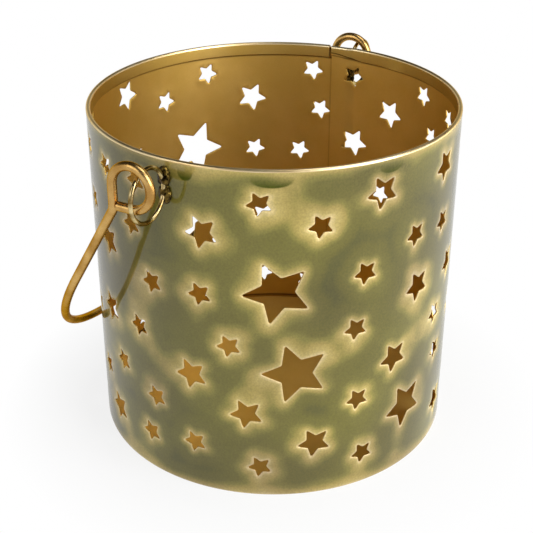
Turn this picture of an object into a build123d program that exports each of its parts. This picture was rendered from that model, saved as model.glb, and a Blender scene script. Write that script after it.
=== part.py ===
# Punched tin lantern: a straight bucket rolled from one star-punched sheet, with a floor pan,
# two wire ear rings soldered to the wall and a wire bail whose eyes are linked through the rings.
# The frame: origin at the middle of the standing face, +Z up, X along the bail's hinge line.
import os
from math import asin, atan2, cos, degrees, hypot, radians, sin, sqrt

from build123d import *

# Wall sheet, millimetres and degrees
WALL_DIAMETER = 120.0
WALL_HEIGHT = 113.0
SHEET = 0.6
HEM_DEPTH = 4.5
HEM_SLIT = 0.3
SEAM_TURN = 8.1
LAP_WIDTH = 6.0
JOGGLE_WIDTH = 2.6

# Star punches: tip radius of each punch, and the notch radius as a share of it
STAR_TIPS = 5
SMALL = 3.5
MEDIUM = 4.9
LARGE = 8.0
GREAT = 10.0
NOTCH_SHARE = 0.48
STAR_TILT = 45.0

# Floor pan
FLOOR_TOP = 6.3
PAN_SHEET = 0.6
PAN_BEND = 1.8
PAN_FIT = 0.1

# Ear rings and their solder
EAR_WIRE = 1.4
EAR_RADIUS = 8.0
EAR_DROP = 8.2
EAR_SIDE = 2.0
SOLDER_FILM = 0.05
SOLDER_RISE = 1.9
SOLDER_WIDTH = 4.2
SOLDER_LENGTH = 6.4
SOLDER_STEP = 2.7

# Bail
BAIL_WIRE = 2.8
EYE_RADIUS = 6.5
EYE_FLAT = 0.1
EYE_OUT = 0.75
EYE_LIFT = 3.8
EYE_SLACK = 1.9
EYE_CLOSE = 0.3
NECK_DROP = 7.6
NECK_BEND = 4.0
BAIL_SHIFT = 4.0
BAIL_REACH = 101.5
ARM_DRAW = 5.2
BAIL_WALL_GAP = 0.3

# One stroke of the punching die: turn round the wall, height in percent of the wall's height,
# tip radius and any tilt of its own
DIE_STARS = [
    (151.1, 90.7, SMALL),
    (150.1, 68.1, MEDIUM),
    (148.1, 46.0, MEDIUM),
    (154.6, 31.0, SMALL),
    (149.1, 11.9, MEDIUM),
    (163.6, 77.9, SMALL),
    (166.6, 91.2, SMALL),
    (171.1, 62.8, SMALL),
    (164.6, 46.9, SMALL),
    (170.6, 25.7, SMALL),
    (167.6, 12.4, SMALL),
    (188.6, 81.4, MEDIUM),
    (187.6, 63.3, SMALL),
    (196.1, 48.7, SMALL),
    (184.1, 37.6, MEDIUM),
    (184.6, 15.0, SMALL),
    (201.1, 27.4, MEDIUM),
    (205.1, 90.7, SMALL),
    (205.1, 9.7, SMALL),
    (210.1, 65.5, GREAT, 42.0),
    (215.6, 40.7, GREAT, 36.0),
    (222.1, 84.1, SMALL),
    (221.6, 17.3, MEDIUM),
    (236.1, 68.6, SMALL),
    (233.6, 52.2, SMALL),
    (235.1, 29.2, SMALL),
    (237.6, 10.2, SMALL),
    (240.6, 90.7, MEDIUM),
    (254.6, 74.8, SMALL),
    (257.1, 58.4, MEDIUM),
    (248.1, 38.9, MEDIUM),
    (254.6, 20.4, LARGE),
    (269.1, 90.3, MEDIUM),
    (270.1, 73.5, SMALL),
    (269.1, 44.7, SMALL),
    (272.1, 31.0, SMALL),
    (279.1, 57.1, MEDIUM),
    (277.1, 10.6, MEDIUM),
]
DIE_TURN = -151.5

# Stars of the shorter strokes that fill the two gaps between the full ones
FILL_STARS = [
    (134.6, 91.2, SMALL),
    (137.6, 76.1, SMALL),
    (133.6, 40.7, SMALL),
    (140.6, 22.6, SMALL),
    (292.6, 91.2, SMALL),
    (310.1, 89.4, SMALL),
    (328.1, 91.2, SMALL),
    (301.6, 76.1, MEDIUM),
    (322.1, 79.6, SMALL),
    (344.1, 81.0, MEDIUM),
    (295.6, 60.2, SMALL),
    (311.6, 62.8, SMALL),
    (330.6, 61.9, GREAT, 42.0),
    (346.6, 52.2, SMALL),
    (288.1, 39.8, MEDIUM),
    (305.6, 46.0, SMALL),
    (320.6, 41.6, MEDIUM),
    (338.6, 39.8, SMALL),
    (293.6, 24.8, SMALL),
    (309.6, 26.5, LARGE),
    (330.6, 25.7, SMALL),
    (347.6, 28.3, MEDIUM),
    (290.6, 10.6, SMALL),
    (308.6, 10.2, SMALL),
    (324.6, 12.4, MEDIUM),
    (339.6, 10.6, SMALL),
]

# Values that follow from the sizes above
wall_radius = WALL_DIAMETER / 2
fold_radius = SHEET + HEM_SLIT / 2
lap_start = SEAM_TURN - degrees(LAP_WIDTH / wall_radius)
joggle_start = lap_start - degrees(JOGGLE_WIDTH / wall_radius)
ear_height = WALL_HEIGHT - EAR_DROP
ear_foot = sqrt(wall_radius**2 - EAR_SIDE**2)
ear_centre = ear_foot + SOLDER_FILM + EAR_WIRE / 2 + EAR_RADIUS
eye_height = ear_height + EYE_LIFT
hinge_side = EAR_SIDE + EYE_SLACK
half_span = wall_radius + SOLDER_FILM + EAR_WIRE / 2 + EAR_RADIUS + EYE_OUT
top_radius = half_span - ARM_DRAW
bail_rest = wall_radius + BAIL_WALL_GAP + BAIL_WIRE / 2


def polar(radius, turn, height=0.0):
    """A point given by its distance from the axis, its turn from +X and its height."""
    return Vector(radius * cos(radians(turn)), radius * sin(radians(turn)), height)


def sector(inner, outer, start, end):
    """A flat piece of a ring between two turns."""
    reach = 2 * outer
    wedge = make_face(Polyline((0, 0), polar(reach, start), polar(reach, end), close=True))
    return (Circle(outer) - Circle(inner)) & wedge


def star_punch(turn, height, tip_radius, tilt=STAR_TILT):
    """A five-pointed prism that stands across the wall at one place."""
    place_height = WALL_HEIGHT * height / 100
    notch_radius = NOTCH_SHARE * tip_radius
    step = 180 / STAR_TIPS
    corners = [
        polar(notch_radius if corner % 2 else tip_radius, tilt + corner * step)
        for corner in range(2 * STAR_TIPS)
    ]
    face = make_face(Polyline(*corners, close=True))
    out = polar(1, turn)
    place = Plane(origin=polar(wall_radius + SHEET, turn, place_height), x_dir=polar(1, turn + 90), z_dir=out)
    return place * extrude(face, amount=-5 * SHEET)


def hem_section():
    """The fold over the rim: half a ring on top and a leg down the inside."""
    fold = Pos(wall_radius - fold_radius, WALL_HEIGHT - fold_radius) * (
        Circle(fold_radius) - Circle(HEM_SLIT / 2)
    )
    upper = Pos(wall_radius, WALL_HEIGHT) * Rectangle(
        3 * fold_radius, fold_radius, align=(Align.MAX, Align.MAX)
    )
    leg = Pos(wall_radius - 2 * fold_radius, WALL_HEIGHT - HEM_DEPTH) * Rectangle(
        SHEET, HEM_DEPTH - fold_radius, align=Align.MIN
    )
    return (fold & upper) + leg


def lap_hem_section():
    """The hem over the lap: the slit is full there, and the inner end stands one thickness further in."""
    inner = wall_radius - 2 * fold_radius - SHEET
    pad = Pos(inner, WALL_HEIGHT - HEM_DEPTH) * Rectangle(
        wall_radius - SHEET / 2 - inner, HEM_DEPTH - SHEET / 2, align=Align.MIN
    )
    corner = pad.vertices().sort_by(Axis.X)[:2].sort_by(Axis.Y)[-1]
    return fillet(corner, SHEET / 2)


def wall_sheet():
    """One sheet rolled to a tube, its inner end joggled under the outer one, then punched."""
    tube = Circle(wall_radius) - Circle(wall_radius - SHEET)
    groove = make_face(
        Polyline(
            polar(wall_radius, joggle_start),
            polar(wall_radius - SHEET, lap_start),
            polar(wall_radius + SHEET, lap_start),
            polar(wall_radius + SHEET, joggle_start),
            close=True,
        )
    )
    slope = make_face(
        Polyline(
            polar(wall_radius - SHEET, joggle_start),
            polar(wall_radius - 2 * SHEET, lap_start),
            polar(wall_radius - SHEET / 2, lap_start),
            polar(wall_radius - SHEET / 2, joggle_start),
            close=True,
        )
    )
    lap = sector(wall_radius - 2 * SHEET, wall_radius - SHEET / 2, lap_start, SEAM_TURN)
    tube_height = WALL_HEIGHT - fold_radius
    lap_height = WALL_HEIGHT - HEM_DEPTH
    hem = revolve(Plane.XZ * hem_section(), Axis.Z)
    lap_hem = revolve(Plane.XZ * lap_hem_section(), Axis.Z, SEAM_TURN - lap_start)
    rolled = extrude(tube, amount=tube_height) + extrude(slope + lap, amount=lap_height)
    rolled = rolled + hem + Rot(0, 0, lap_start) * lap_hem
    rolled = rolled - extrude(groove, amount=lap_height)
    repeated = [(star[0] + DIE_TURN, *star[1:]) for star in DIE_STARS]
    punches = [star_punch(*star) for star in DIE_STARS + repeated + FILL_STARS]
    return rolled - punches


def base_pan():
    """A floor disc with a turned-down flange, notched where the wall's lap stands inside."""
    rim = wall_radius - SHEET - PAN_FIT
    section = make_face(
        [
            Line((0, FLOOR_TOP), (rim - PAN_BEND, FLOOR_TOP)),
            RadiusArc((rim - PAN_BEND, FLOOR_TOP), (rim, FLOOR_TOP - PAN_BEND), PAN_BEND),
            Line((rim, FLOOR_TOP - PAN_BEND), (rim, 0)),
            Line((rim, 0), (rim - PAN_SHEET, 0)),
            Line((rim - PAN_SHEET, 0), (rim - PAN_SHEET, FLOOR_TOP - PAN_BEND)),
            RadiusArc(
                (rim - PAN_SHEET, FLOOR_TOP - PAN_BEND),
                (rim - PAN_BEND, FLOOR_TOP - PAN_SHEET),
                PAN_SHEET - PAN_BEND,
            ),
            Line((rim - PAN_BEND, FLOOR_TOP - PAN_SHEET), (0, FLOOR_TOP - PAN_SHEET)),
            Line((0, FLOOR_TOP - PAN_SHEET), (0, FLOOR_TOP)),
        ]
    )
    pan = revolve(Plane.XZ * section, Axis.Z)
    spare = degrees(SHEET / wall_radius)
    notch = sector(wall_radius - 2 * SHEET - PAN_FIT, wall_radius, joggle_start - spare, SEAM_TURN + spare)
    return pan - extrude(notch, amount=WALL_HEIGHT)


def ear_ring(side):
    """A closed ring of wire standing out from the wall in the upright plane through the hinge."""
    return Pos(side * ear_centre, EAR_SIDE, ear_height) * Rot(90, 0, 0) * Torus(EAR_RADIUS, EAR_WIRE / 2)


def ear_solder(side, ring):
    """Two runny lumps that hold the ring's inner side to the wall."""
    size = (SOLDER_RISE, SOLDER_WIDTH / 2, SOLDER_LENGTH / 2)
    lump = scale(Sphere(1), by=size)
    foot = side * ear_foot
    upper = Pos(foot, EAR_SIDE, ear_height + SOLDER_STEP) * lump
    lower = Pos(foot, EAR_SIDE, ear_height - SOLDER_STEP) * lump
    wall = Cylinder(wall_radius + SOLDER_FILM / 2, 3 * WALL_HEIGHT)
    return upper + lower - wall - ring


def bail_handle():
    """One wire: an eye at each end, a neck, two leaning arms and a round top."""
    drop = sqrt(BAIL_REACH**2 - (bail_rest - hinge_side) ** 2)
    apex = Vector(-BAIL_SHIFT, bail_rest, eye_height - drop)
    neck_middle = Vector(-BAIL_SHIFT, hinge_side + EYE_RADIUS, eye_height - NECK_DROP)
    arm_length = (apex - neck_middle).length
    along = (apex - neck_middle).normalized()
    centre_drop = arm_length - top_radius
    lean = atan2(half_span, centre_drop) - asin(top_radius / hypot(half_span, centre_drop))
    peak = neck_middle + along * (centre_drop + top_radius / sin(lean))

    def end_points(side):
        """The eye's corners, from its cut end to the neck."""
        cut = EYE_RADIUS - BAIL_WIRE / 2 - EYE_CLOSE
        flat = [
            (cut, -EYE_RADIUS),
            (-EYE_RADIUS, -EYE_RADIUS),
            (-EYE_RADIUS, EYE_RADIUS),
            (EYE_RADIUS, EYE_RADIUS),
            (EYE_RADIUS, -NECK_DROP),
        ]
        place = side * half_span - BAIL_SHIFT
        return [Vector(place, hinge_side + across, eye_height + up) for across, up in flat]

    points = end_points(-1) + [peak] + end_points(1)[::-1]
    eye_bend = EYE_RADIUS - EYE_FLAT / 2
    eye_bends = [eye_bend] * 3 + [NECK_BEND]
    path = FilletPolyline(*points, radius=eye_bends + [top_radius] + eye_bends[::-1])
    section = Plane(origin=path @ 0, z_dir=path % 0) * Circle(BAIL_WIRE / 2)
    return sweep(section, path=path)


front_ring = ear_ring(-1)
rear_ring = ear_ring(1)
nodes = {
    "wall_sheet": wall_sheet(),
    "base_pan": base_pan(),
    "ear_ring_front": front_ring,
    "ear_ring_rear": rear_ring,
    "ear_solder_front": ear_solder(-1, front_ring),
    "ear_solder_rear": ear_solder(1, rear_ring),
    "bail_handle": bail_handle(),
}

os.makedirs("parts", exist_ok=True)
for name, solid in nodes.items():
    export_step(solid, f"parts/{name}.step")
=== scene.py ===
# %% [markdown]
# # A punched tin lantern
# The lantern is a small bucket rolled from one sheet of tin. Stars are punched through the sheet,
# the outside is dipped in a clear olive lacquer over gilding, and the inside stays bare gilt.
# A wire bail swings in two wire rings that are soldered to the wall.
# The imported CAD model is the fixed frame: every piece below is made around it, at its real place.
# So the first step loads that frame and prints the size of each of its nodes.

# %% Load the frame
from math import atan2, copysign, cos, degrees, exp, pi, radians, sin, tan

import bmesh
import bpy
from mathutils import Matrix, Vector, noise
from mathutils.bvhtree import BVHTree
from mathutils.kdtree import KDTree


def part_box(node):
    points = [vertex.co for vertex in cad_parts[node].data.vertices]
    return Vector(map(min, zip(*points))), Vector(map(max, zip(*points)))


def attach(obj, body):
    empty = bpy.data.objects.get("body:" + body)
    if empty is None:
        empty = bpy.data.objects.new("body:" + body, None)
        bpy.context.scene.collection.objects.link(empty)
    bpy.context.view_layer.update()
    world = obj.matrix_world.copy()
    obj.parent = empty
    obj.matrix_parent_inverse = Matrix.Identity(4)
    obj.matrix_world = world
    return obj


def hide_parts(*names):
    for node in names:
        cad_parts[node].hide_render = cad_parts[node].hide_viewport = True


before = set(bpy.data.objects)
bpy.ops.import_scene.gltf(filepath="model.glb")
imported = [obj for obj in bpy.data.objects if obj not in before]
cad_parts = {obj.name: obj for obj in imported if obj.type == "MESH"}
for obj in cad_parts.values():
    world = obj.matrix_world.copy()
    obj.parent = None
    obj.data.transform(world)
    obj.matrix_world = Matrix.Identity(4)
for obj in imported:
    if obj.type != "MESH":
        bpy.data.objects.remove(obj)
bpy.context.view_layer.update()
MM = 0.001
for name in sorted(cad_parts):
    low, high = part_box(name)
    print(name, "is", [round((b - a) / MM, 1) for a, b in zip(low, high)], "mm across")

# %% [markdown]
# ## Colours and nodes
# A finish is a small graph of shader nodes. It could be wired by hand in the shader editor. In a
# script, one function that adds a node with its links says the same in a few lines. Colours are
# written as sRGB hex values, as a colour picker shows them, but a shader reckons in linear light,
# so another function turns them over.


# %% Colours and nodes
def linear(hex_value):
    """An sRGB hex value as a linear colour, by the standard sRGB curve."""
    shares = [int(hex_value[place : place + 2], 16) / 255 for place in (1, 3, 5)]
    return (*[s / 12.92 if s <= 0.04045 else ((s + 0.055) / 1.055) ** 2.4 for s in shares], 1.0)


def add_node(tree, kind, inputs, settings=None, stops=None):
    """Adds a node: its settings, a ramp's stops, and inputs that are values or linked sockets."""
    node = tree.nodes.new(kind)
    for name, value in (settings or {}).items():
        setattr(node, name, value)
    for name, value in inputs.items():
        if isinstance(value, bpy.types.NodeSocket):
            tree.links.new(value, node.inputs[name])
        else:
            node.inputs[name].default_value = value
    if stops:
        ramp = node.color_ramp
        while len(ramp.elements) < len(stops):
            ramp.elements.new(1.0)
        for element, (place, hex_value) in zip(ramp.elements, stops):
            element.position = place
            element.color = linear(hex_value)
    return node


def new_material(name):
    """An empty material with its shader and the object's own coordinates."""
    material = bpy.data.materials.new(name)
    material.use_nodes = True
    tree = material.node_tree
    tree.nodes.clear()
    shader = add_node(tree, "ShaderNodeBsdfPrincipled", {})
    add_node(tree, "ShaderNodeOutputMaterial", {"Surface": shader.outputs["BSDF"]})
    place = add_node(tree, "ShaderNodeTexCoord", {}).outputs["Object"]
    return material, tree, shader, place


def per_mm(size):
    """The scale of a noise whose features are about this many millimetres wide."""
    return 1 / (size * MM)


print("middle grey #808080 is", round(linear("#808080")[0], 3), "in linear light")

# %% [markdown]
# ## Runs of lacquer
# The lantern was dipped and hung to drain, and short thick runs of lacquer dried just below its
# rim. They could be painted on an image, but then the wall would need unwrapping and the image
# would have to be kept. Each run is simple enough to reckon: a lens on the wall, cut off on top
# where the rim begins. A point belongs to the lens that it is nearest to.

# %% Runs of lacquer
RADIUS = -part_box("wall_sheet")[0].x
# Each run: its turn in degrees, then its height, half width and half height in millimetres
POOLS = [
    (208.6, 110.0, 6.5, 2.6),
    (243.0, 110.6, 4.6, 2.6),
    (184.5, 110.2, 2.6, 3.0),
    (30.0, 110.2, 9.0, 2.4),
    (118.0, 110.0, 7.0, 2.6),
    (310.0, 110.4, 6.0, 2.2),
]
POOL_TOP = 111.4
POOL_FADE = 3.2
LENS_FULL = 0.85
FAR_AWAY = 10.0


def lacquer_pools(tree, place):
    """How much of a run lies at a point, from 0 to 1."""
    nearest = FAR_AWAY
    for turn, height, wide, tall in POOLS:
        middle = (RADIUS * cos(radians(turn)), RADIUS * sin(radians(turn)), height * MM)
        offset = add_node(
            tree, "ShaderNodeVectorMath", {0: place, 1: middle}, {"operation": "SUBTRACT"}
        )
        shares = add_node(
            tree,
            "ShaderNodeVectorMath",
            {0: offset.outputs[0], 1: (per_mm(wide), per_mm(wide), per_mm(tall))},
            {"operation": "MULTIPLY"},
        )
        away = add_node(
            tree, "ShaderNodeVectorMath", {0: shares.outputs[0]}, {"operation": "LENGTH"}
        )
        nearest = add_node(
            tree,
            "ShaderNodeMath",
            {0: away.outputs["Value"], 1: nearest},
            {"operation": "MINIMUM"},
        ).outputs[0]
    lens = add_node(
        tree,
        "ShaderNodeMapRange",
        {"Value": nearest, "From Min": 1.0, "From Max": LENS_FULL},
    )
    height = add_node(tree, "ShaderNodeSeparateXYZ", {0: place}).outputs["Z"]
    below = add_node(
        tree,
        "ShaderNodeMapRange",
        {"Value": height, "From Min": POOL_TOP * MM, "From Max": (POOL_TOP - POOL_FADE) * MM},
    )
    both = add_node(
        tree,
        "ShaderNodeMath",
        {0: lens.outputs[0], 1: below.outputs[0]},
        {"operation": "MULTIPLY"},
    )
    return both.outputs[0]


print(len(POOLS), "runs of lacquer below the rim")

# %% [markdown]
# ## Olive lacquer over gilt tin
# The outside is gilt sheet under a clear green-brown lacquer. Wet lacquer draws back from every
# edge, so it is thin and pale round the stars, the rim and the foot, and thick and dark between
# them. The pale glow could be painted star by star. Here an attribute on the wall holds each
# point's distance from the nearest edge, and a ramp turns that into colour, so that one rule gives
# every star its glow. The gloss is a coat over the metal, as it is on the real thing.

# %% Depth of the lacquer
HALO_REACH = 8.0
CLOUD_SIZE = 22
CLOUD_THIN = 0.2
CLOUD_THICK = 1.18
# Most of what a noise gives lies between these two values
NOISE_LOW = 0.3
NOISE_HIGH = 0.7


def lacquer_depth(tree, place):
    """How deep the lacquer is: 0 at a cut edge, about 1 far from any, and uneven in soft clouds."""
    edge = add_node(tree, "ShaderNodeAttribute", {}, {"attribute_name": "edge_distance"})
    inland = add_node(
        tree,
        "ShaderNodeMath",
        {0: edge.outputs["Fac"], 1: HALO_REACH},
        {"operation": "DIVIDE", "use_clamp": True},
    )
    cloud = add_node(
        tree,
        "ShaderNodeTexNoise",
        {"Vector": place, "Scale": per_mm(CLOUD_SIZE), "Detail": 1.5},
    )
    sway = add_node(
        tree,
        "ShaderNodeMapRange",
        {
            "Value": cloud.outputs["Fac"],
            "From Min": NOISE_LOW,
            "From Max": NOISE_HIGH,
            "To Min": CLOUD_THIN,
            "To Max": CLOUD_THICK,
        },
    )
    depth = add_node(
        tree,
        "ShaderNodeMath",
        {0: inland.outputs[0], 1: sway.outputs["Result"]},
        {"operation": "MULTIPLY"},
    )
    return depth.outputs[0]


print("the pale glow reaches", HALO_REACH, "mm from an edge")

# %% Flecks and patches of the lacquer
# The real flecks are finer than a pixel of the render, so they are drawn coarser, to show
FLECK_SIZE = 0.6
FLECK_DARK = 0.87
FLECK_LIGHT = 1.13
PATCH_SIZE = 34
PATCH_LOW = 0.38
PATCH_HIGH = 0.62
# How a thick and a thin film of lacquer change the colour below, channel by channel
THICK_FILM = (0.78, 0.77, 0.84, 1)
THIN_FILM = (1.14, 1.16, 1.06, 1)


def lacquer_mottling(tree, place):
    """What the colour is multiplied by: fine flecks, and broad patches of thick and thin film."""
    grain = add_node(
        tree,
        "ShaderNodeTexNoise",
        {"Vector": place, "Scale": per_mm(FLECK_SIZE), "Detail": 2.0},
    )
    fleck = add_node(
        tree,
        "ShaderNodeMapRange",
        {
            "Value": grain.outputs["Fac"],
            "From Min": NOISE_LOW,
            "From Max": NOISE_HIGH,
            "To Min": FLECK_DARK,
            "To Max": FLECK_LIGHT,
        },
    )
    patch = add_node(
        tree,
        "ShaderNodeTexNoise",
        {"Vector": place, "Scale": per_mm(PATCH_SIZE), "Detail": 1.0},
    )
    film = add_node(
        tree,
        "ShaderNodeMapRange",
        {"Value": patch.outputs["Fac"], "From Min": PATCH_LOW, "From Max": PATCH_HIGH},
    )
    tint = add_node(
        tree,
        "ShaderNodeMix",
        {"Factor": film.outputs["Result"], "A": THICK_FILM, "B": THIN_FILM},
        {"data_type": "RGBA"},
    )
    both = add_node(
        tree,
        "ShaderNodeVectorMath",
        {0: tint.outputs["Result"], 1: fleck.outputs["Result"]},
        {"operation": "MULTIPLY"},
    )
    return both.outputs["Vector"]


print("flecks of", FLECK_SIZE, "mm and patches of", PATCH_SIZE, "mm")

# %% Olive lacquer
OLIVE_BY_DEPTH = [
    (0.0, "#dcc58e"),
    (0.042, "#b9a462"),
    (0.112, "#a89450"),
    (0.217, "#857b38"),
    (0.35, "#6d6628"),
    (0.7, "#676122"),
    (1.0, "#5a5620"),
]
POOL_OLIVE = "#464c08"
# Over the runs the coat is thinned, a painted dark reflection of what a bulging run mirrors; the
# deep green of a run is the thick lacquer's own colour
COAT_PLAIN = 0.9
COAT_OVER_RUNS_PAINTED_DARK = 0.25


def olive_lacquer():
    """Satin gilding seen through a glossy olive lacquer."""
    # To the eye: pale gold round each hole, deep mottled olive between, a sharp wet shine over both
    material, tree, shader, place = new_material("olive_lacquer_over_gilt_tin")
    pool = lacquer_pools(tree, place)
    body = add_node(
        tree,
        "ShaderNodeValToRGB",
        {"Fac": lacquer_depth(tree, place)},
        stops=OLIVE_BY_DEPTH,
    )
    pooled = add_node(
        tree,
        "ShaderNodeMix",
        {"Factor": pool, "A": body.outputs["Color"], "B": linear(POOL_OLIVE)},
        {"data_type": "RGBA"},
    )
    colour = add_node(
        tree,
        "ShaderNodeVectorMath",
        {0: pooled.outputs["Result"], 1: lacquer_mottling(tree, place)},
        {"operation": "MULTIPLY"},
    )
    # Less coat over the runs: a painted dark reflection
    gloss = add_node(
        tree, "ShaderNodeMapRange", {"Value": pool, "To Min": COAT_PLAIN, "To Max": COAT_OVER_RUNS_PAINTED_DARK}
    )
    tree.links.new(colour.outputs["Vector"], shader.inputs["Base Color"])
    tree.links.new(gloss.outputs["Result"], shader.inputs["Coat Weight"])
    shader.inputs["Metallic"].default_value = 0.45
    shader.inputs["Roughness"].default_value = 0.5
    shader.inputs["Coat IOR"].default_value = 1.52
    shader.inputs["Coat Roughness"].default_value = 0.05
    shader.inputs["Specular Tint"].default_value = linear("#b8b08a")
    return material


lacquer = olive_lacquer()
print("made", lacquer.name)

# %% [markdown]
# ## Gilt tin
# Inside, on the floor and along the rim the tin shows its gold. It is a sprayed satin finish. Along
# the rim's crest it is painted paler, as a painted highlight, and the floor is painted paler than
# the inside, as painted light where it faces up. One flat gold would look like plastic. So two
# tones are mixed by soft smudges, and one fine grain moves both the roughness and the surface,
# because spray dries in tiny beads. The same recipe serves every gold part.

# %% Gilt
SMUDGE_DEEP = 0.35
SMUDGE_PALE = 0.65
GRAIN_SWING = 0.06
GRAIN_STRENGTH = 0.25
GRAIN_DEPTH = 0.05 * MM


def gilt(name, pale, deep, roughness, grain_size, smudge_size=22, metallic=1.0):
    """A gold finish: two tones in soft smudges, and a fine grain in its roughness and surface."""
    material, tree, shader, place = new_material(name)
    smudge = add_node(
        tree,
        "ShaderNodeTexNoise",
        {"Vector": place, "Scale": per_mm(smudge_size), "Detail": 4.0},
    )
    grain = add_node(
        tree,
        "ShaderNodeTexNoise",
        {"Vector": place, "Scale": per_mm(grain_size), "Detail": 3.0},
    )
    colour = add_node(
        tree,
        "ShaderNodeValToRGB",
        {"Fac": smudge.outputs["Fac"]},
        stops=[(SMUDGE_DEEP, deep), (SMUDGE_PALE, pale)],
    )
    rough = add_node(
        tree,
        "ShaderNodeMapRange",
        {
            "Value": grain.outputs["Fac"],
            "From Min": NOISE_LOW,
            "From Max": NOISE_HIGH,
            "To Min": roughness - GRAIN_SWING,
            "To Max": roughness + GRAIN_SWING,
        },
    )
    bump = add_node(
        tree,
        "ShaderNodeBump",
        {"Height": grain.outputs["Fac"], "Strength": GRAIN_STRENGTH, "Distance": GRAIN_DEPTH},
    )
    tree.links.new(colour.outputs["Color"], shader.inputs["Base Color"])
    tree.links.new(rough.outputs["Result"], shader.inputs["Roughness"])
    tree.links.new(bump.outputs["Normal"], shader.inputs["Normal"])
    shader.inputs["Metallic"].default_value = metallic
    shader.inputs["Specular Tint"].default_value = linear(pale)
    return material


# Each has a pale and a deep tone, a roughness, and a grain size in millimetres. Real spray grain
# is too fine to show, so it is drawn coarser here: 0.5 to 0.8 mm.
# The rim's crest: gilt painted pale, a painted highlight that makes the bright line along the rim.
rim_gilt_painted_highlight = gilt("gilt_tin_painted_highlight", "#f2dfb4", "#e2c690", 0.34, 0.8)
# The inside, satin spray: a broad soft sheen, and no mirror image.
inside_gilt = gilt("satin_gilt_tin", "#dab664", "#cfab56", 0.5, 0.5)
# The floor: less metal in it, so flatter, and painted paler than the inside, as painted light where
# it faces up to the lamps.
floor_gilt_painted_light = gilt("paler_gilt_tin_painted_light", "#e8c872", "#dcba62", 0.55, 0.5, metallic=0.6)
print("made", rim_gilt_painted_highlight.name, inside_gilt.name, floor_gilt_painted_light.name)

# %% [markdown]
# ## Creases in the gilt
# Inside, shade falls below the hem, beside the step of the lap seam and where the floor meets the
# wall, and it is painted there as thin brown lines of painted shadow. The hem itself is painted a
# tone darker than the wall, as painted shade. Grooves could be modelled, but these are painted
# lines, not shapes. So the wall carries an attribute for each crease, the distance past it in
# millimetres, and the colour is darkened over the first part of it.

# %% Creases
# The brown of the painted shadow lines along the creases
CREASE_SHADOW_BROWN = "#4a3412"
CREASE_START = -0.15
CREASE_FULL = 0.2
CREASE_END = 0.9
TONE_FROM = -0.3
TONE_TO = -0.1


def crease_painted_shadow(material, name, strength):
    """Paints shadow on a gilt along a crease, where an attribute gives the distance past it."""
    tree = material.node_tree
    shader = tree.nodes["Principled BSDF"]
    plain = shader.inputs["Base Color"].links[0].from_socket
    past = add_node(tree, "ShaderNodeAttribute", {}, {"attribute_name": name}).outputs["Fac"]
    fade = add_node(
        tree,
        "ShaderNodeMapRange",
        {
            "Value": past,
            "From Min": CREASE_FULL,
            "From Max": CREASE_END,
            "To Min": strength,
            "To Max": 0.0,
        },
    )
    begun = add_node(
        tree, "ShaderNodeMath", {0: past, 1: CREASE_START}, {"operation": "GREATER_THAN"}
    )
    share = add_node(
        tree,
        "ShaderNodeMath",
        {0: fade.outputs[0], 1: begun.outputs[0]},
        {"operation": "MULTIPLY"},
    )
    shade = add_node(
        tree,
        "ShaderNodeMix",
        {"Factor": share.outputs[0], "A": plain, "B": linear(CREASE_SHADOW_BROWN)},
        {"data_type": "RGBA"},
    )
    tree.links.new(shade.outputs["Result"], shader.inputs["Base Color"])


def painted_shade_before(material, name, tone):
    """Paints shade on a gilt where an attribute's distance is still short of its crease."""
    tree = material.node_tree
    shader = tree.nodes["Principled BSDF"]
    plain = shader.inputs["Base Color"].links[0].from_socket
    past = add_node(tree, "ShaderNodeAttribute", {}, {"attribute_name": name}).outputs["Fac"]
    share = add_node(
        tree,
        "ShaderNodeMapRange",
        {"Value": past, "From Min": TONE_FROM, "From Max": TONE_TO, "To Min": tone, "To Max": 1.0},
    )
    shade = add_node(
        tree,
        "ShaderNodeVectorMath",
        {0: plain, 1: share.outputs["Result"]},
        {"operation": "MULTIPLY"},
    )
    tree.links.new(shade.outputs["Vector"], shader.inputs["Base Color"])


# Painted shade on the hem, and painted shadow lines below it, beside the lap step and above the
# floor
painted_shade_before(inside_gilt, "below_hem", tone=0.72)
crease_painted_shadow(inside_gilt, "below_hem", strength=0.85)
crease_painted_shadow(inside_gilt, "past_lap", strength=0.3)
crease_painted_shadow(inside_gilt, "above_floor", strength=0.8)
print(inside_gilt.name, "now has", len(inside_gilt.node_tree.nodes), "nodes")

# %% [markdown]
# ## Gold wire and solder
# The bail is wire under gold paint, the ear rings are brighter wire whose pale and dark patches
# are painted highlights and painted dark reflections, and the solder is nearly black where lacquer
# pooled over it. Each could have a shader of its own.
# They differ only in tones, gloss and the size of the smudges, so the gilt recipe makes all three.

# %% Finishes of the wire and the solder
# Here too the grain is drawn coarser than the real one, 0.7 to 1.2 mm, so that it shows.
# Paint on the bail: two tones, worn and fresh, and a soft streak of light along the wire.
bail_gilt = gilt("matt_gold_painted_wire", "#ddb774", "#b1874a", 0.28, 0.7, smudge_size=9)
# Wire of the rings: small sharp glints, with pale patches as painted highlights and dark patches as
# painted dark reflections between them.
ring_gilt_painted_reflections = gilt("gold_wire_painted_reflections", "#e0cc98", "#7a6234", 0.2, 1.2, smudge_size=2.5)
# Solder: a black-brown lump, wet-looking, with a few golden glints.
solder_dark = gilt(
    "lacquered_solder", "#6a5626", "#040302", 0.08, 1.0, smudge_size=1.3, metallic=0.5
)
print("made", bail_gilt.name, ring_gilt_painted_reflections.name, solder_dark.name)

# %% [markdown]
# ## Where the stars are
# The wall is made anew below, and its stars have to land on the holes of the CAD wall. Their places
# could be typed in, but a list can drift from the solid. So they are measured: a copy of the CAD
# wall is merged, the walls of its holes are lifted off, and each loose band gives its centre, its
# reach and the lean of its points.


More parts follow.
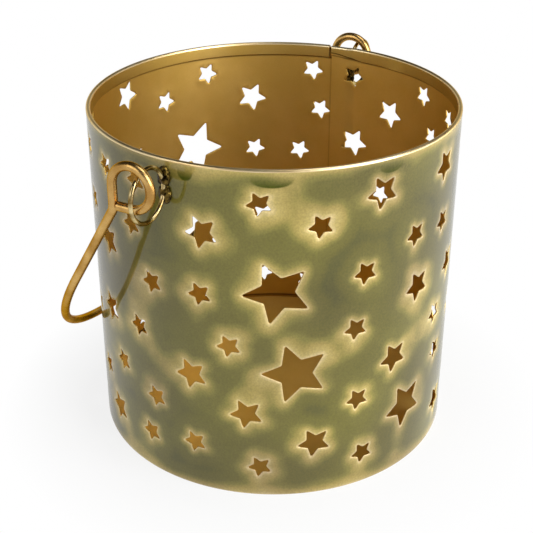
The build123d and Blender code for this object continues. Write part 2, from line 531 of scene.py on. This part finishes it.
# %% Tools for selecting
def take(piece):
    """Makes one object the only selected one, and the active one."""
    bpy.ops.object.select_all(action="DESELECT")
    piece.select_set(True)
    bpy.context.view_layer.objects.active = piece
    return piece


def pick(kind, rule):
    """In edit mode, selects only the elements of one kind that a rule accepts."""
    bpy.ops.mesh.select_mode(type=kind)
    bpy.ops.mesh.select_all(action="DESELECT")
    data = bpy.context.edit_object.data
    mesh = bmesh.from_edit_mesh(data)
    elements = {"VERT": mesh.verts, "EDGE": mesh.edges, "FACE": mesh.faces}[kind]
    found = [item for item in elements if rule(item)]
    for item in found:
        item.select_set(True)
    mesh.select_flush_mode()
    bmesh.update_edit_mesh(data)
    return len(found)


# %% Lift off the walls of the holes
# The sheet's sizes, as the CAD source has them
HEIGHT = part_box("wall_sheet")[1].z
SHEET = 0.6 * MM
HEM_DEPTH = 4.5 * MM
SEAM_TURN = radians(8.1)
LAP_WIDTH = 6.0 * MM
# An upright face this near a seam's turn is an end of the sheet, not a star
END_NEAR = radians(0.2)
LEVEL = 0.01
# A star's wall stands across the sheet, so its normal has less than this share outwards
ACROSS = 0.35
lap_turn = SEAM_TURN - LAP_WIDTH / RADIUS


def is_star_wall(face):
    """True for a face that stands across the sheet, away from the sheet's own ends."""
    centre = face.calc_center_median()
    out = Vector((centre.x, centre.y, 0)).normalized()
    turn = atan2(centre.y, centre.x)
    to_end = min(abs(turn - SEAM_TURN), abs(turn - lap_turn))
    at_end = to_end < END_NEAR and abs(face.normal.z) < LEVEL
    inland = SHEET < centre.z < HEIGHT - HEM_DEPTH - SHEET
    return abs(face.normal @ out) < ACROSS and inland and not at_end


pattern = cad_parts["wall_sheet"].copy()
pattern.data = pattern.data.copy()
pattern.parent = None
bpy.context.collection.objects.link(pattern)
take(pattern)
bpy.ops.object.mode_set(mode="EDIT")
bpy.ops.mesh.select_all(action="SELECT")
bpy.ops.mesh.remove_doubles(threshold=0.001 * MM)
pick("FACE", is_star_wall)
bpy.ops.mesh.separate(type="SELECTED")
bpy.ops.object.mode_set(mode="OBJECT")
bands = next(o for o in bpy.context.selected_objects if o != pattern)
take(bands)
bpy.ops.mesh.separate(type="LOOSE")
loose_bands = list(bpy.context.selected_objects)
print(len(loose_bands), "loose bands")

# %% Measure the stars
STAR_TIPS = 5


def measure_star(band):
    """A hole's turn, height, reach and lean from the band of faces round it."""
    turn = atan2(*(sum(v.co[axis] for v in band.data.vertices) for axis in (1, 0)))

    def flat(point):
        ahead = (atan2(point.y, point.x) - turn + pi) % (2 * pi) - pi
        return Vector((ahead * RADIUS, point.z))

    faces = band.data.polygons
    area = sum(face.area for face in faces)
    centre = sum((flat(face.center) * face.area for face in faces), Vector((0, 0))) / area
    tip = max((flat(v.co) - centre for v in band.data.vertices), key=lambda arm: arm.length)
    lean = atan2(tip.y, tip.x) % (2 * pi / STAR_TIPS)
    return (turn + centre.x / RADIUS) % (2 * pi), centre.y, tip.length, lean


stars = sorted(measure_star(band) for band in loose_bands)
for spare in loose_bands + [pattern]:
    bpy.data.objects.remove(spare)
tips = [reach / MM for turn, height, reach, lean in stars]
print(len(stars), "stars, tips from", round(min(tips), 2), "to", round(max(tips), 2), "mm")

# %% [markdown]
# ## The wall, flat
# A tinsmith marks out and punches the sheet while it is flat. The stars could be cut through a
# finished tube instead, but its folded rim and its seam would get in the way of the cut. So the
# model follows the tinsmith: a fine flat grid is the outer skin, and star-shaped punches with
# slightly blunt points cut it in one go. A star near the sheet's end is punched at both ends,
# because the ends lap.

# %% A star punch
POINT_BLUNT = 1.1 * MM
NOTCH_BLUNT = 0.4 * MM
NOTCH_SHARE = 0.48
BLUNT_STEPS = 4
# A corner beyond the first share of the reach is a tip, and one within the second of the notch
# radius is a notch
TIP_FROM = 0.9
NOTCH_TO = 1.02
PUNCH_LENGTH = 8 * SHEET
# The rounded lip of a hole takes this much, so the punch is larger by it
LIP = 0.2 * MM
half_point = atan2(NOTCH_SHARE * sin(pi / STAR_TIPS), 1 - NOTCH_SHARE * cos(pi / STAR_TIPS))
blunt_loss = POINT_BLUNT * (1 / cos(half_point) - tan(half_point))


def punch(reach):
    """A five-pointed prism standing across the flat sheet."""
    bpy.ops.object.select_all(action="DESELECT")
    bpy.ops.mesh.primitive_circle_add(vertices=2 * STAR_TIPS, radius=reach, fill_type="NGON")
    bpy.ops.object.mode_set(mode="EDIT")
    first = Vector((0, 1))
    pick("VERT", lambda v: round(v.co.xy.angle_signed(first) / (pi / STAR_TIPS)) % 2)
    bpy.ops.transform.resize(value=(NOTCH_SHARE,) * 3, center_override=(0, 0, 0))
    bpy.ops.mesh.select_all(action="SELECT")
    bpy.ops.mesh.extrude_region_move(TRANSFORM_OT_translate={"value": (0, 0, PUNCH_LENGTH)})
    for edge_rule, blunt in (
        (lambda v: v.co.xy.length > TIP_FROM * reach, POINT_BLUNT),
        (lambda v: v.co.xy.length < NOTCH_TO * NOTCH_SHARE * reach, NOTCH_BLUNT),
    ):
        pick("EDGE", lambda e: e.verts[0].co.xy == e.verts[1].co.xy and edge_rule(e.verts[0]))
        bpy.ops.mesh.bevel(offset=blunt, segments=BLUNT_STEPS, clamp_overlap=False)
    bpy.ops.mesh.select_all(action="SELECT")
    bpy.ops.transform.translate(value=(0, 0, -PUNCH_LENGTH / 2))
    bpy.ops.mesh.normals_make_consistent(inside=False)
    bpy.ops.object.mode_set(mode="OBJECT")
    return bpy.context.object


print("half the angle of a point:", round(degrees(half_point), 1), "degrees")

# %% Lay out the punches
sheet_length = (2 * pi + LAP_WIDTH / RADIUS) * RADIUS
middle_turn = lap_turn + sheet_length / RADIUS / 2


def along(turn):
    """Where a turn of the rolled wall lies along the flat sheet."""
    return (turn - middle_turn) * RADIUS


masters = {}
punches = []
centres = []
for turn, height, reach, lean in stars:
    size = round(reach / MM, 1) * MM + blunt_loss
    if size not in masters:
        masters[size] = punch(size + LIP / sin(half_point))
    for place in (along(turn), along(turn + 2 * pi)):
        if abs(place) < sheet_length / 2 + reach:
            one = masters[size].copy()
            one.data = masters[size].data.copy()
            bpy.context.collection.objects.link(one)
            one.rotation_euler = (pi / 2, -lean + pi / 2, 0)
            one.location = (place, 0, height)
            punches.append(one)
            centres.append((Vector((place, 0, height)), size))
take(punches[0])
for one in punches:
    one.select_set(True)
bpy.ops.object.transform_apply(location=True, rotation=True, scale=True)
bpy.ops.object.join()
cutter = bpy.context.object
for master in masters.values():
    bpy.data.objects.remove(master)
print(len(punches), "punches of", len(masters), "sizes")

# %% Punch the flat skin
# The grid's cell is small enough to look round once it is rolled
CELL = 1.4 * MM
HEM_SLIT = 0.3 * MM
fold_radius = SHEET + HEM_SLIT / 2
skin_height = HEIGHT - fold_radius - LIP
bpy.ops.object.select_all(action="DESELECT")
bpy.ops.mesh.primitive_grid_add(
    x_subdivisions=round(sheet_length / CELL), y_subdivisions=round(skin_height / CELL), size=1
)
wall = bpy.context.object
wall.name = "star_punched_wall"
wall.scale = (sheet_length, skin_height, 1)
wall.rotation_euler = (pi / 2, 0, 0)
wall.location = (0, 0, LIP + skin_height / 2)
bpy.ops.object.transform_apply(location=True, rotation=True, scale=True)
cut = wall.modifiers.new("stars", "BOOLEAN")
cut.operation = "DIFFERENCE"
cut.solver = "EXACT"
cut.object = cutter
bpy.ops.object.modifier_apply(modifier=cut.name)
print("flat skin has", len(wall.data.polygons), "faces")

# %% Drop the offcuts
# Points closer than this count as one place
NEAR = 0.06 * MM
star_edges = BVHTree.FromObject(cutter, bpy.context.evaluated_depsgraph_get())


def is_cut(face):
    """True for a face that has a corner on a star's outline."""
    return any(star_edges.find_nearest(v.co)[3] < NEAR for v in face.verts)


def is_offcut(face):
    """True for a face still inside a star, where a look along the punch meets its end."""
    centre = face.calc_center_median()
    return centre.y > NEAR or star_edges.ray_cast(centre, Vector((0, 1, 0)))[0] is not None


take(wall)
bpy.ops.object.mode_set(mode="EDIT")
pick("FACE", is_cut)
bpy.ops.mesh.quads_convert_to_tris(quad_method="BEAUTY", ngon_method="BEAUTY")
offcuts = pick("FACE", is_offcut)
bpy.ops.mesh.delete(type="FACE")
bpy.ops.object.mode_set(mode="OBJECT")
print("flat skin keeps", len(wall.data.polygons), "faces;", offcuts, "offcuts dropped")

# %% [markdown]
# ## The wall, folded
# The real rim is the sheet itself, folded in as a hem. A modifier could give the skin its
# thickness, but it would not fold the hem or round the holes. So the skin gets an inner twin, one
# sheet deeper. The rim edge is drawn over and down inside, step by step, as a hem is folded. Round
# every star, and along the foot, the cut edge is drawn through to the twin along a small rounded
# lip, because a punched edge is never razor sharp.

# %% The hem's path
FOLD_STEP = 20
# The hem's cut edge loses this much at its corners
nip = SHEET / 6
fold_height = HEIGHT - fold_radius
hem_foot = HEIGHT - HEM_DEPTH
hem_path = [
    (fold_radius * (1 - cos(radians(angle))), fold_height + fold_radius * sin(radians(angle)))
    for angle in range(0, 181, FOLD_STEP)
]
hem_path += [(2 * fold_radius, hem_foot + 3 * nip), (2 * fold_radius, hem_foot + nip)]
hem_path += [(2 * fold_radius - nip, hem_foot)]
hem_path += [(2 * fold_radius - SHEET + nip, hem_foot), (2 * fold_radius - SHEET, hem_foot + nip)]
hem_path += [
    (
        fold_radius + HEM_SLIT / 2 * cos(radians(angle)),
        fold_height + HEM_SLIT / 2 * sin(radians(angle)),
    )
    for angle in (0, 90, 180)
]
print("the hem is folded in", len(hem_path) - 1, "steps")

# %% Inner twin and hem
# A depth below this is the skin itself
TINY = 0.002 * MM
half_length = sheet_length / 2
notch_place = LAP_WIDTH - half_length


def shift_selected(rule):
    """In edit mode, moves each selected vertex by what a rule gives for its place."""
    data = bpy.context.edit_object.data
    mesh = bmesh.from_edit_mesh(data)
    for vertex in mesh.verts:
        if vertex.select:
            vertex.co += rule(vertex.co)
    bmesh.update_edit_mesh(data)


def is_rim(edge):
    """True for the outer skin's open edge along the rim."""
    on_rim = all(v.co.y < TINY and v.co.z > fold_height - NEAR for v in edge.verts)
    return edge.is_boundary and on_rim


def true_up(co):
    """Puts a vertex back on the sheet's plane, and on the sheet's end if it is close to it."""
    beyond = half_length - abs(co.x)
    return Vector((copysign(beyond if beyond < NEAR else 0.0, co.x), -co.y, 0))


take(wall)
bpy.ops.object.mode_set(mode="EDIT")
bpy.ops.mesh.select_all(action="SELECT")
bpy.ops.mesh.remove_doubles(threshold=NEAR)
bpy.ops.mesh.delete_loose()
bpy.ops.mesh.select_all(action="SELECT")
shift_selected(true_up)
bpy.ops.mesh.duplicate_move(TRANSFORM_OT_translate={"value": (0, SHEET, 0)})
hemmed = pick("EDGE", lambda e: is_rim(e) and min(v.co.x for v in e.verts) > notch_place)
for (depth, height), (next_depth, next_height) in zip(hem_path, hem_path[1:]):
    bpy.ops.mesh.extrude_edges_move(
        TRANSFORM_OT_translate={"value": (0, next_depth - depth, next_height - height)}
    )
# Where the sheet laps itself, the hem is notched away and the rim is a plain edge
notched = pick("EDGE", lambda e: is_rim(e) and min(v.co.x for v in e.verts) <= notch_place)
bpy.ops.mesh.extrude_edges_move(TRANSFORM_OT_translate={"value": (0, SHEET, 0)})
print(hemmed, "rim edges hemmed,", notched, "left plain at the notch")

# %% Which star an edge belongs to
STAR_MARGIN = 1.1
star_tree = KDTree(len(centres))
for number, (centre, size) in enumerate(centres):
    star_tree.insert(centre, number)
star_tree.balance()
widest = max(size for centre, size in centres) * STAR_MARGIN


def star_round(point):
    """The star whose outline a point lies on: its centre, and how far off its sides run."""
    level = Vector((point.x, 0, point.z))
    found = [centres[number] for co, number, gap in star_tree.find_range(level, widest)]
    centre, size = min(found, key=lambda star: (star[0] - level).length / star[1])
    return centre, (size + LIP / sin(half_point)) * sin(half_point)


print("the widest star is looked for within", round(widest / MM, 1), "mm")

# %% Rounded lips
# The middle of a quarter round lies about 0.7 of its radius along and 0.3 down
ROUND_ALONG = 0.7
ROUND_DOWN = 0.3
lip_path = [
    (0, 0),
    (ROUND_ALONG * LIP, ROUND_DOWN * LIP),
    (LIP, LIP),
    (LIP, SHEET - LIP),
    (ROUND_ALONG * LIP, SHEET - ROUND_DOWN * LIP),
    (0, SHEET),
]


def is_cut_edge(edge):
    """True for the outer skin's open edges along the foot and round the stars."""
    first, second = (v.co for v in edge.verts)
    at_end = abs(first.x - second.x) < NEAR and abs(first.x) > half_length - NEAR
    on_skin = max(first.y, second.y) < TINY
    return edge.is_boundary and on_skin and not at_end and not is_rim(edge)


def draw_in(flare, next_flare, depth_step):
    """The rule for one step along the lip."""

    def rule(co):
        if co.z < LIP + NEAR:
            return Vector((0, depth_step, flare - next_flare))
        centre, width = star_round(co)
        inward = (centre - co) * (1 - (width - next_flare) / (width - flare))
        at_end = abs(co.x) > half_length - NEAR
        return Vector((0 if at_end else inward.x, depth_step, inward.z))

    return rule


print("cut edges:", pick("EDGE", is_cut_edge))
for (flare, depth), (next_flare, next_depth) in zip(lip_path, lip_path[1:]):
    bpy.ops.mesh.extrude_edges_move()
    shift_selected(draw_in(flare, next_flare, next_depth - depth))

# %% Close the sheet
bpy.ops.mesh.select_all(action="SELECT")
bpy.ops.mesh.remove_doubles(threshold=TINY)
pick("EDGE", lambda e: e.is_boundary)
bpy.ops.mesh.fill_holes(sides=0)
bpy.ops.mesh.select_all(action="SELECT")
bpy.ops.mesh.normals_make_consistent(inside=False)
open_edges = pick("EDGE", lambda e: not e.is_manifold)
bpy.ops.object.mode_set(mode="OBJECT")
print("open edges left:", open_edges, "faces:", len(wall.data.polygons))

# %% [markdown]
# ## Two sides, and the distance from the edges
# The sheet is lacquered on one side and gilt on the other, and the crest of its rim takes a paler
# gilt, a painted highlight. While it is still flat, its sides are easy to tell apart by their
# depth, which would be harder on the tube. In the same way, each vertex now learns how far it is
# from the nearest cut edge, because the lacquer's colour hangs on that, and how far it is past each
# crease inside, where shade is painted.

# %% Two sides of the sheet
# The pale gilt of the rim's crest is a painted highlight
for finish in (lacquer, inside_gilt, rim_gilt_painted_highlight):
    wall.data.materials.append(finish)


def is_inside(face):
    """True for the sheet's bare side."""
    return face.calc_center_median().y > LIP


def is_bead(face):
    """True for the rounded crest of the rim, where the lacquer has drawn right off."""
    return face.calc_center_median().z > fold_height


take(wall)
bpy.ops.object.mode_set(mode="EDIT")
for slot, rule in ((1, is_inside), (2, is_bead)):
    count = pick("FACE", rule)
    wall.active_material_index = slot
    bpy.ops.object.material_slot_assign()
    print(count, "faces of", wall.data.materials[slot].name)
bpy.ops.object.mode_set(mode="OBJECT")

# %% Distance from the edges
# The lacquer draws back a little less from the rim than from a star
RIM_PULL = 1.1
star_gaps = [
    star_edges.find_nearest(Vector((v.co.x, 0, v.co.z)))[3] for v in wall.data.vertices
]
edge_gaps = [
    min(gap, v.co.z, RIM_PULL * (HEIGHT - v.co.z)) / MM
    for gap, v in zip(star_gaps, wall.data.vertices)
]
wall.data.attributes.new("edge_distance", "FLOAT", "POINT").data.foreach_set("value", edge_gaps)
bpy.data.objects.remove(cutter)
print("farthest point from an edge:", round(max(edge_gaps), 1), "mm")

# %% Distance past the creases
# Towards the sheet's inner end the hem gets shorter, by the rise, over the length of the taper
HEM_RISE = 1.3 * MM
HEM_TAPER = 13.5 * MM


def smooth_step(share):
    """A soft ramp from 0 to 1."""
    share = min(1.0, max(0.0, share))
    return share * share * (3 - 2 * share)


def hem_rise(co):
    """How much shorter the hem is towards the sheet's inner end, where it tapers."""
    return HEM_RISE * (1 - smooth_step((half_length - co.x) / HEM_TAPER))


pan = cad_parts["base_pan"]
floor_top = max((pan.matrix_world @ v.co).z for v in pan.data.vertices)
past_lap = [(v.co.x - notch_place) / MM for v in wall.data.vertices]
below_hem = [(hem_foot + hem_rise(v.co) - v.co.z) / MM for v in wall.data.vertices]
above_floor = [(v.co.z - floor_top) / MM for v in wall.data.vertices]
for name, gaps in (
    ("past_lap", past_lap),
    ("below_hem", below_hem),
    ("above_floor", above_floor),
):
    wall.data.attributes.new(name, "FLOAT", "POINT").data.foreach_set("value", gaps)
print("the floor meets the wall at", round(floor_top / MM, 2), "mm")

# %% [markdown]
# ## A handmade hem, the seam and the dishes
# On a cheap bucket the hem strays from the wall here and there, and it tapers out at the seam. At
# one end the sheet steps in by its own thickness, so that it can lie under the other end. And a
# punch leaves a faint dish round each hole. All three could be sculpted on the tube. On the flat
# sheet each is a plain rule for how far a vertex moves.

# %% Hem, seam and dishes
# Each gap: its turn and half width in degrees, and how far the hem stands off in millimetres
HEM_GAPS = [(-17.4, 4.0, 0.6), (33.0, 14.0, 0.25), (73.0, 20.0, 0.3), (200.0, 25.0, 0.3)]
JOGGLE_WIDTH = 2.6 * MM
JOGGLE_DEPTH = 1.05 * SHEET
DISH = 0.12 * MM
DISH_REACH = 1.0 * MM
joggle_place = half_length - LAP_WIDTH - JOGGLE_WIDTH


def hem_shift(co):
    """How the hem's free leg strays: gaps here and there, and a tapered end."""
    share = min(1.0, max(0.0, (fold_height - co.z) / (fold_height - hem_foot)))
    turn = degrees(co.x / RADIUS + middle_turn)
    lean = 0.0
    for place, width, gap in HEM_GAPS:
        away = (turn - place + 180) % 360 - 180
        lean += gap * MM * exp(-((away / width) ** 2))
    return Vector((0, lean * share, hem_rise(co) * share))


def joggle_shift(co):
    """How the sheet steps in near its inner end."""
    return Vector((0, JOGGLE_DEPTH * smooth_step((co.x - joggle_place) / JOGGLE_WIDTH), 0))


take(wall)
bpy.ops.object.mode_set(mode="EDIT")
pick("VERT", lambda v: v.co.y > SHEET + TINY)
shift_selected(hem_shift)
pick("VERT", lambda v: v.co.x > joggle_place)
shift_selected(joggle_shift)
bpy.ops.object.mode_set(mode="OBJECT")
for vertex, gap in zip(wall.data.vertices, star_gaps):
    vertex.co.y += DISH * exp(-((gap / DISH_REACH) ** 2))
deepest = max(v.co.y for v in wall.data.vertices)
print("sheet is now", round(deepest / MM, 2), "mm deep at its thickest place")

# %% [markdown]
# ## The wall, rolled
# A tinsmith's rollers curl the flat sheet into a tube. Each vertex could be turned round the axis
# by a rule, but a bend modifier does just that. The sheet's outer face keeps its length, so every
# star lands where the CAD has its hole.

# %% Roll
SMOOTH_ANGLE = radians(50)
bend = wall.modifiers.new("roll", "SIMPLE_DEFORM")
bend.deform_method = "BEND"
bend.deform_axis = "Z"
bend.angle = sheet_length / RADIUS
take(wall)
bpy.ops.object.modifier_apply(modifier=bend.name)
wall.location = (0, 0, 0)
bpy.ops.object.mode_set(mode="EDIT")
bpy.ops.mesh.select_all(action="SELECT")
bpy.ops.transform.translate(value=(0, -RADIUS, 0))
bpy.ops.transform.rotate(
    value=-(middle_turn + pi / 2), orient_axis="Z", center_override=(0, 0, 0)
)
bpy.ops.mesh.normals_make_consistent(inside=False)
bpy.ops.object.mode_set(mode="OBJECT")
bpy.ops.object.shade_smooth_by_angle(angle=SMOOTH_ANGLE)
radii = [v.co.xy.length / MM for v in wall.data.vertices]
print("rolled wall: radius", round(min(radii), 2), "to", round(max(radii), 2), "mm")
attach(wall, "bucket")
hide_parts("wall_sheet")

# %% [markdown]
# ## Solder
# Each ear ring is held by one run of solder that was dipped in the lacquer with the rest. It could
# be sculpted, but the CAD's plain pad already gives its place and its bulk. A remesh turns a copy
# of the pad into one lump of even facets. A smoothing and two sizes of noise then give it the look
# of something that was once liquid.

# %% Solder lumps
LUMP_FACET = 0.14 * MM
# Each wave of the surface: its width and its swing in millimetres
LUMP_WAVES = ((1.3, 0.3), (0.6, 0.13))
# Without a seed of its own, this noise starts from the clock and differs from run to run
LUMP_SEED = 5
noise.seed_set(LUMP_SEED)
for side in ("front", "rear"):
    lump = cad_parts["ear_solder_" + side].copy()
    lump.data = lump.data.copy()
    lump.name = "solder_lump_" + side
    lump.parent = None
    bpy.context.collection.objects.link(lump)
    lump.data.materials.clear()
    lump.data.materials.append(solder_dark)
    take(lump)
    lump.data.remesh_voxel_size = LUMP_FACET
    bpy.ops.object.voxel_remesh()
    bpy.ops.object.mode_set(mode="EDIT")
    bpy.ops.mesh.select_all(action="SELECT")
    bpy.ops.mesh.vertices_smooth(factor=0.5, repeat=4)
    for width, swing in LUMP_WAVES:
        shift_selected(lambda co: noise.noise_vector(co * per_mm(width)) * swing * MM)
    bpy.ops.object.mode_set(mode="OBJECT")
    bpy.ops.object.shade_smooth()
    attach(lump, "bucket")
    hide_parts("ear_solder_" + side)
    print(lump.name, len(lump.data.polygons), "faces")

# %% [markdown]
# ## Pieces that stay as the CAD made them
# The floor, the rings and the bail are plain sheet and wire. They could be modelled again, but
# their CAD shape is already right, so they only get their finish.

# %% Finishes on the CAD pieces
for name, finish in (
    ("base_pan", floor_gilt_painted_light),
    ("ear_ring_front", ring_gilt_painted_reflections),
    ("ear_ring_rear", ring_gilt_painted_reflections),
    ("bail_handle", bail_gilt),
):
    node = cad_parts[name]
    node.data.materials.clear()
    node.data.materials.append(finish)
    print(name, "has", finish.name)

# %% [markdown]
# ## The set
# A product picture is taken on white paper, in a white surround. Strong lamps on the paper could
# whiten it, but they would wash out the lantern too. So the paper and the surround are white to the
# camera by themselves, and the reflections in lacquer and metal see them as well. Near the lantern
# the paper keeps some of its own shading, so that the soft shadow stays. In reflections it is a
# little greyer, or the wall's outer edges would melt into the background.


# %% What a ray sees
def seen_share(tree, unseen, mirrored, seen):
    """One value for plain lighting, one for reflections, one for the camera and clear glass."""
    ray = add_node(tree, "ShaderNodeLightPath", {}).outputs
    mirror = add_node(
        tree,
        "ShaderNodeMapRange",
        {"Value": ray["Is Glossy Ray"], "To Min": unseen, "To Max": mirrored},
    )
    clear = add_node(
        tree,
        "ShaderNodeMath",
        {0: ray["Is Camera Ray"], 1: ray["Is Transmission Ray"]},
        {"operation": "MAXIMUM"},
    )
    share = add_node(
        tree,
        "ShaderNodeMapRange",
        {"Value": clear.outputs[0], "To Min": mirror.outputs["Result"], "To Max": seen},
    )
    return share.outputs["Result"]


# %% Paper floor
FLOOR_SIZE = 4
SHADOW_FULL = 66 * MM
SHADOW_GONE = 98 * MM
WHITE_IN_SHADOW = 0.84
WHITE_IN_MIRROR = 0.72
bpy.ops.object.select_all(action="DESELECT")
bpy.ops.mesh.primitive_plane_add(size=FLOOR_SIZE)
floor = bpy.context.object
floor.name = "paper_floor"
# White paper, matt: no highlight, only a soft shadow that fades within a few centimetres
paper, tree, shader, place = new_material("white_paper")
shader.inputs["Base Color"].default_value = linear("#f4f4f4")
shader.inputs["Roughness"].default_value = 0.9
glow = add_node(tree, "ShaderNodeEmission", {"Strength": 1.0})
away = add_node(tree, "ShaderNodeVectorMath", {0: place}, {"operation": "LENGTH"})
white_share = add_node(
    tree,
    "ShaderNodeMapRange",
    {
        "Value": away.outputs["Value"],
        "From Min": SHADOW_FULL,
        "From Max": SHADOW_GONE,
        "To Min": WHITE_IN_SHADOW,
        "To Max": 1.0,
    },
)
white_seen = add_node(
    tree,
    "ShaderNodeMath",
    {0: seen_share(tree, 0.0, WHITE_IN_MIRROR, 1.0), 1: white_share.outputs["Result"]},
    {"operation": "MULTIPLY"},
)
mixed = add_node(
    tree,
    "ShaderNodeMixShader",
    {0: white_seen.outputs[0], 1: shader.outputs["BSDF"], 2: glow.outputs[0]},
)
tree.links.new(mixed.outputs[0], tree.nodes["Material Output"].inputs["Surface"])
floor.data.materials.append(paper)
print(floor.name, "is", FLOOR_SIZE, "m wide, of", paper.name)

# %% White surround
# How much the surround lights the lantern, and how it darkens upwards, as under a dark ceiling
SURROUND_LIGHT = 0.36
CEILING_BEGINS = 0.1
CEILING_FULL = 0.45
CEILING_WHITE = 0.05
world = bpy.data.worlds.new("white_surround")
bpy.context.scene.world = world
world.use_nodes = True
tree = world.node_tree
tree.nodes.clear()
way = add_node(tree, "ShaderNodeTexCoord", {}).outputs["Generated"]
height = add_node(tree, "ShaderNodeSeparateXYZ", {0: way}).outputs["Z"]
ceiling = add_node(
    tree,
    "ShaderNodeMapRange",
    {
        "Value": height,
        "From Min": CEILING_BEGINS,
        "From Max": CEILING_FULL,
        "To Min": 1.0,
        "To Max": CEILING_WHITE,
    },
)
strength = add_node(
    tree,
    "ShaderNodeMath",
    {0: seen_share(tree, SURROUND_LIGHT, 1.0, 1.0), 1: ceiling.outputs["Result"]},
    {"operation": "MULTIPLY"},
)
white = add_node(
    tree, "ShaderNodeBackground", {"Color": linear("#ffffff"), "Strength": strength.outputs[0]}
)
add_node(tree, "ShaderNodeOutputWorld", {"Surface": white.outputs["Background"]})
print(world.name, "gives", SURROUND_LIGHT, "of its white as light")

# %% [markdown]
# ## Lights
# The picture was lit softly, more from its right than from its left: the right of the wall is
# paler, and shadows have no hard edge. One large lamp could do it, but then the left side and the
# inside would go dark. So there are four area lights: a large key on the right, a weak fill on the
# left, a small one from above for the inside, and a low strip that lifts the right of the wall.

# %% Lights
LIGHT_AIM = Vector((0, 0, HEIGHT / 2))


def soft_light(name, turn, rise, away, size, power):
    """An area light that faces the lantern: degrees round and up, metres away and wide, watts."""
    data = bpy.data.lights.new(name, "AREA")
    data.shape = "RECTANGLE"
    data.size, data.size_y = size
    data.energy = power
    light = bpy.data.objects.new(name, data)
    bpy.context.collection.objects.link(light)
    level = away * cos(radians(rise))
    up = away * sin(radians(rise))
    toward = Vector((level * cos(radians(turn)), level * sin(radians(turn)), up))
    light.location = LIGHT_AIM + toward
    light.rotation_euler = toward.to_track_quat("Z", "Y").to_euler()
    print(name, "gives", power, "W from", away, "m")


soft_light("key_softbox", 262, 28, 1.15, (0.8, 0.8), 13.5)
soft_light("fill_softbox", 157, 30, 1.15, (0.6, 0.6), 2.6)
soft_light("top_softbox", 299, 70, 1.0, (0.5, 0.5), 2.4)
soft_light("low_strip", 300, 0, 0.5, (0.6, 0.1), 0.6)

# %% [markdown]
# ## Camera
# The lantern was taken from a little above and to one side of its front ear. The camera could be
# set by eye. Its place, aim and lens were solved instead, from the ellipses of the rim and the foot
# in the picture, so that the render can be laid over it.

# %% Camera
CAMERA_PLACE = Vector((-300.2, -167.1, 234.9)) * MM
CAMERA_AIM = Vector((-3.2, 1.0, 52.3)) * MM
LENS_LENGTH = 75.83
lens = bpy.data.cameras.new("photo_camera")
lens.lens = LENS_LENGTH
camera = bpy.data.objects.new("photo_camera", lens)
bpy.context.collection.objects.link(camera)
camera.location = CAMERA_PLACE
camera.rotation_euler = (CAMERA_AIM - CAMERA_PLACE).to_track_quat("-Z", "Y").to_euler()
bpy.context.scene.camera = camera
bpy.context.scene.view_settings.view_transform = "Standard"
print("camera at", [round(c / MM, 1) for c in camera.location])
